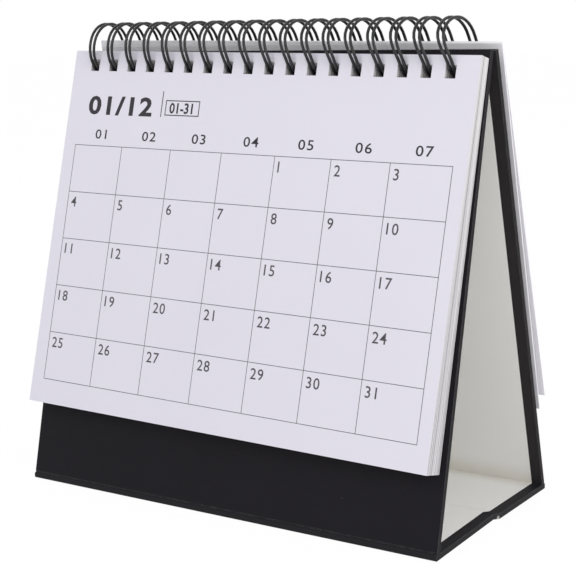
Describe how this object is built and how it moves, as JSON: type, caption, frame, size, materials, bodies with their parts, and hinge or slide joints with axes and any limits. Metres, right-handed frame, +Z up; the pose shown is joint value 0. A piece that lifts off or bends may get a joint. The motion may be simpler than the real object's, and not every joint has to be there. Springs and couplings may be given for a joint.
{
  "type": "standing desk calendar",
  "caption": "Tent-shaped desk calendar: fanned month pages and turned sheets bound by twin-loop wire over a paper-covered board case with a lined, open-ended tunnel.",
  "frame": {"origin": "middle of the whole calendar's underside, on the desk, at half its width and depth", "axes": "+X to the right along the wire, +Y to the rear, +Z up; the front month page faces -Y and a little up"},
  "size_m": [0.25, 0.1227, 0.2456],
  "materials": {
    "cover_paper": "black covering paper, satin with a faint grain",
    "board": "plain grey board",
    "liner_paper": "matt cream lining paper",
    "page_paper": "smooth white card",
    "wire": "black coated steel wire, semi-gloss"
  },
  "bodies": {
    "root": {"cover_paper": "cover_paper", "front_board": "board", "base_front_board": "board", "base_rear_board": "board", "rear_board": "board", "liner_paper": "liner_paper", "page_block": "page_paper", "turned_sheets": "page_paper", "binding_wire": "wire"}
  },
  "joints": []
}
